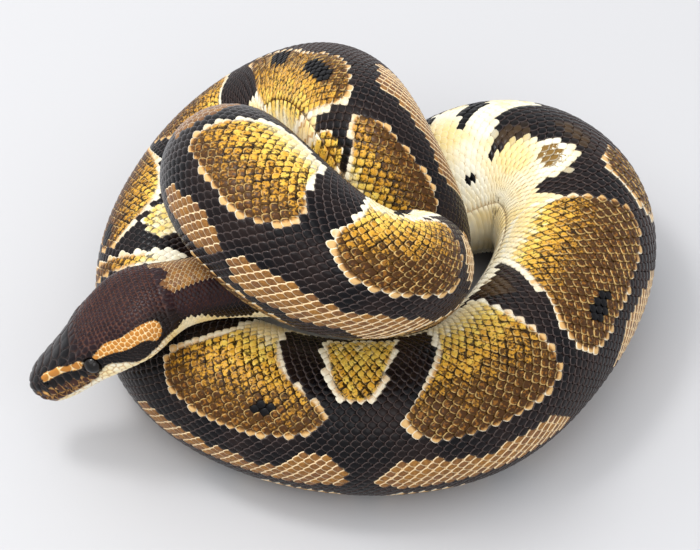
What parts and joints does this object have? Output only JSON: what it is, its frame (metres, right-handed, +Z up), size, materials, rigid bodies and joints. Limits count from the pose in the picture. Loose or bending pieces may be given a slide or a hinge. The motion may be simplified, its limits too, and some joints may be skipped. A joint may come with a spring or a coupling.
{
  "type": "ball python model",
  "caption": "Life-size coiled ball python, head resting over the coil, with scaled, blotched skin; a still display model.",
  "frame": {"origin": "middle of the coil's outline seen from above, on the floor it rests on", "axes": "+X along the coil's longest side, away from the head; +Y to the back; +Z up"},
  "size_m": [0.22, 0.1816, 0.128],
  "materials": {
    "skin": "smooth scales with a low satin sheen, dark ground with tan blotches",
    "eye": "wet and glossy, dark iris"
  },
  "bodies": {
    "root": {"head": "skin", "lower_jaw": "skin", "neck": "skin", "trunk_1": "skin", "trunk_2": "skin", "trunk_3": "skin", "trunk_4": "skin", "trunk_5": "skin", "trunk_6": "skin", "trunk_7": "skin", "trunk_8": "skin", "trunk_9": "skin", "trunk_10": "skin", "trunk_11": "skin", "tail": "skin", "eye_left": "eye", "eye_right": "eye"}
  },
  "joints": []
}
